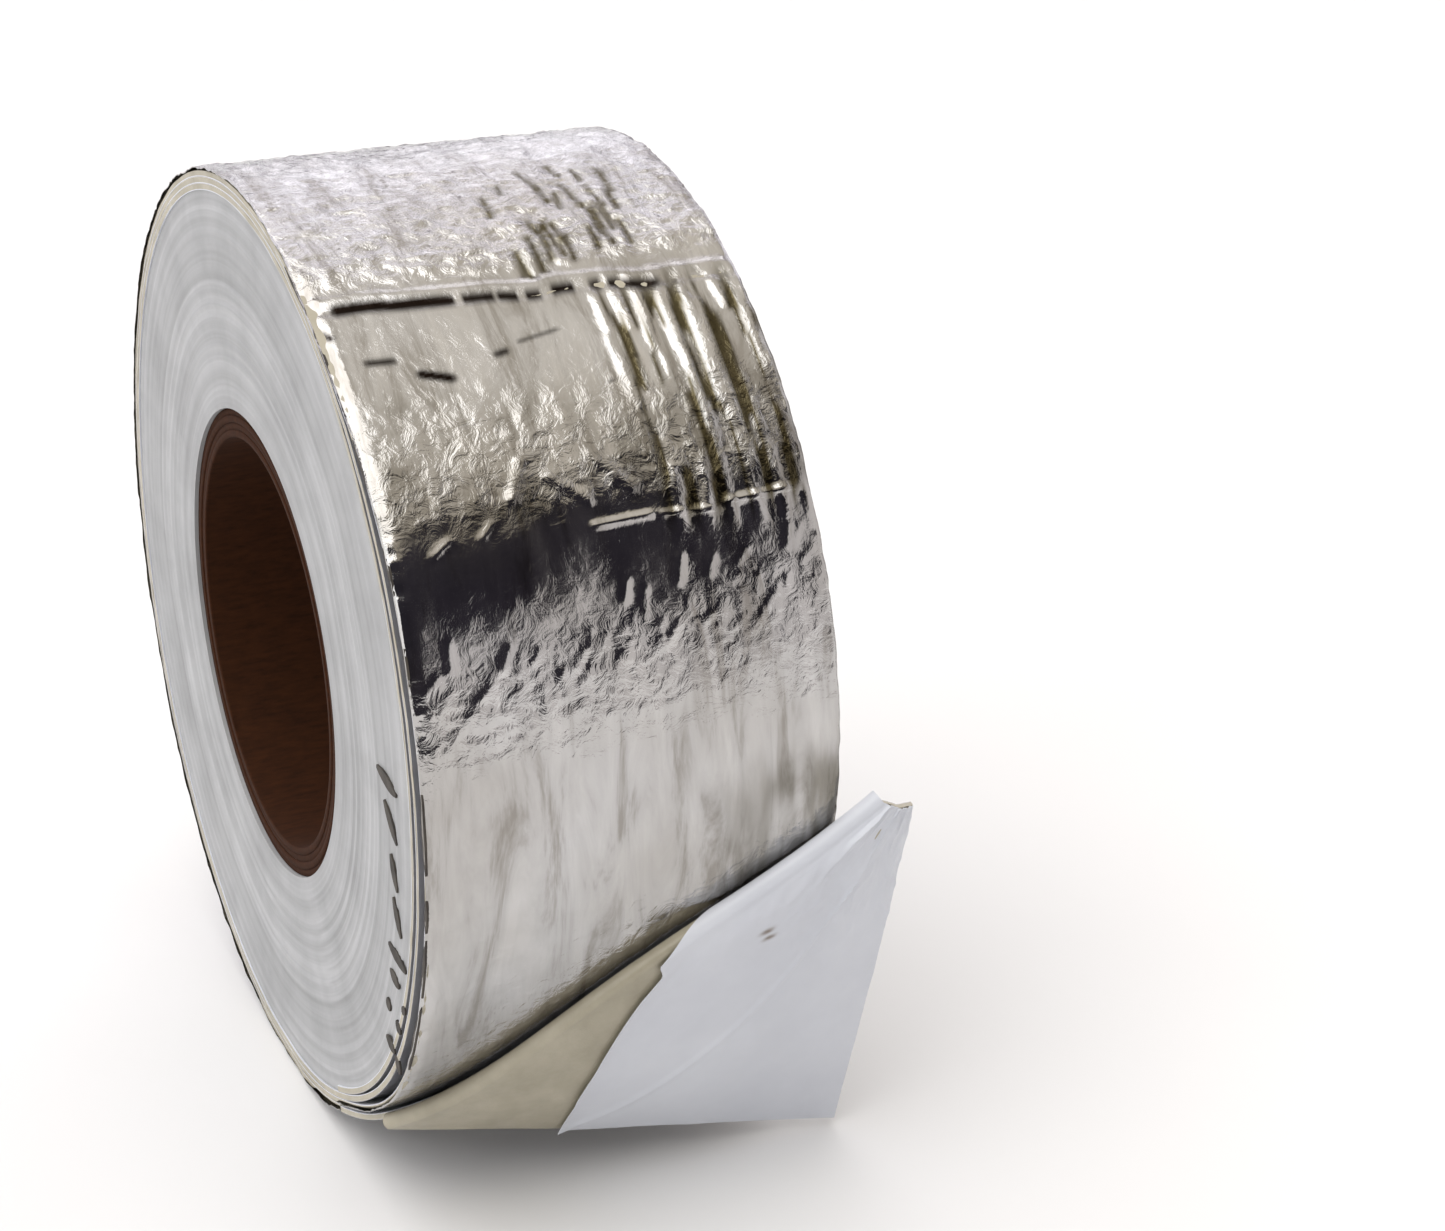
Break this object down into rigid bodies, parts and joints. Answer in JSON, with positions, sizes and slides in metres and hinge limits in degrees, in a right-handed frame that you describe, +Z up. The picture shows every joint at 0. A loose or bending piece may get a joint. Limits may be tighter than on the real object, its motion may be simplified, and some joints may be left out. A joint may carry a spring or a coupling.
{
  "type": "duct tape roll",
  "caption": "Roll of foil-faced butyl sealing tape standing on its tread, on a paper core, with the free end folded outward at an angle and its white release liner showing.",
  "frame": {"origin": "middle of the small flat on the roll's tread that it stands on", "axes": "+Z up from the floor through the roll's centre, Y along the roll's axis, +X toward the folded free end"},
  "size_m": [0.1787, 0.0899, 0.1727],
  "materials": {
    "foil": "crinkled bright aluminium foil",
    "mastic": "olive grey butyl, satin",
    "liner": "white release liner, smooth satin",
    "wound_side": "light grey side of the wound turns, faint rings",
    "core": "dark brown wound paper core, matte"
  },
  "bodies": {
    "roll": {"core_ply_1": "core", "core_ply_2": "core", "core_ply_3": "core", "core_ply_4": "core", "inner_turns": "wound_side", "foil_outer_turns": "foil", "mastic_outer_turns": "mastic", "liner_outer_turns": "liner", "foil_fold": "foil", "mastic_fold": "mastic", "liner_fold": "liner", "liner_flap": "liner"},
    "tape_corner": {"foil_corner": "foil", "mastic_corner": "mastic"},
    "liner_corner": {"liner_corner": "liner"}
  },
  "joints": [
    {"name": "corner_lift", "type": "hinge", "parent": "roll", "child": "tape_corner", "pos_m": [0.06967, 0.00613, 0.00783], "axis": [-0.2963, -0.5896, -0.7514], "range_deg": [0, 50]},
    {"name": "liner_peel", "type": "hinge", "parent": "roll", "child": "liner_corner", "pos_m": [0.06967, 0.00613, 0.00783], "axis": [-0.2963, -0.5896, -0.7514], "range_deg": [0, 75]}
  ],
  "couplings": [
    {"joint": "liner_peel", "follows": "corner_lift", "ratio": 1.5}
  ]
}
